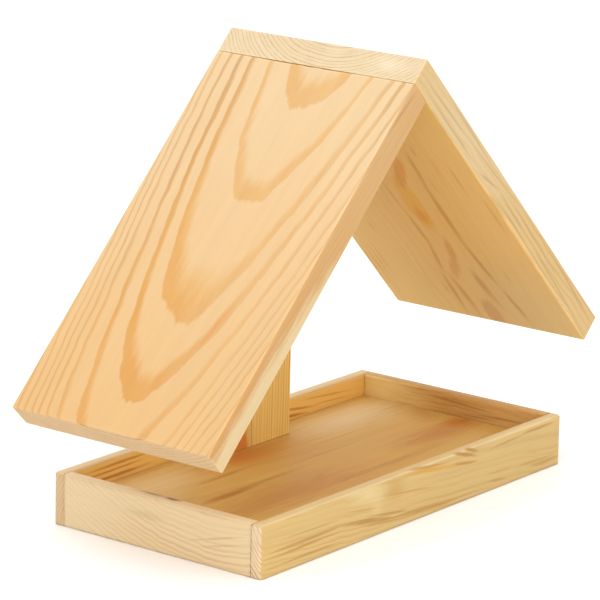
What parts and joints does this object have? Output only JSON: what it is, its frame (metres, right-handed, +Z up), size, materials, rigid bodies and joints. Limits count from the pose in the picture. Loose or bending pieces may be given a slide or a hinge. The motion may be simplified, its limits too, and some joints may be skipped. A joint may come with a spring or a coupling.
{
  "type": "bird feeder",
  "caption": "Roofed timber feeding table for garden birds: a shallow railed tray, an upright support board at the back and a right-angled pitched roof of two lapped planks.",
  "frame": {"origin": "the middle of the object's footprint, on the level of the tray's underside, where it stands", "axes": "+X runs along the long tray rails towards the roof plank that laps over the other, +Y points to the back, where the support board stands, and +Z points up"},
  "size_m": [0.3848, 0.155, 0.2757],
  "materials": {
    "roof_pine": "planed, bare pine with strong flat-sawn grain",
    "rail_pine": "planed, bare pine, pale sapwood",
    "floor_pine": "planed, bare pine, darker heartwood",
    "support_pine": "planed, bare pine, fine upright grain",
    "dowel_beech": "plain beech",
    "screw_steel": "zinc-plated"
  },
  "bodies": {
    "root": {"floor_panel": "floor_pine", "front_rail": "rail_pine", "back_rail": "rail_pine", "left_rail": "rail_pine", "right_rail": "rail_pine", "support_board": "support_pine", "left_roof_plank": "roof_pine", "right_roof_plank": "roof_pine", "corner_dowel_front_left_lower": "dowel_beech", "corner_dowel_front_left_upper": "dowel_beech", "corner_dowel_front_right_lower": "dowel_beech", "corner_dowel_front_right_upper": "dowel_beech", "corner_dowel_back_left_lower": "dowel_beech", "corner_dowel_back_left_upper": "dowel_beech", "corner_dowel_back_right_lower": "dowel_beech", "corner_dowel_back_right_upper": "dowel_beech", "roof_dowel_1": "dowel_beech", "roof_dowel_2": "dowel_beech", "ridge_screw_1": "screw_steel", "ridge_screw_2": "screw_steel", "ridge_screw_3": "screw_steel", "roof_support_screw_1": "screw_steel", "roof_support_screw_2": "screw_steel", "back_rail_screw_1": "screw_steel", "back_rail_screw_2": "screw_steel", "floor_screw_1": "screw_steel", "floor_screw_2": "screw_steel"}
  },
  "joints": []
}
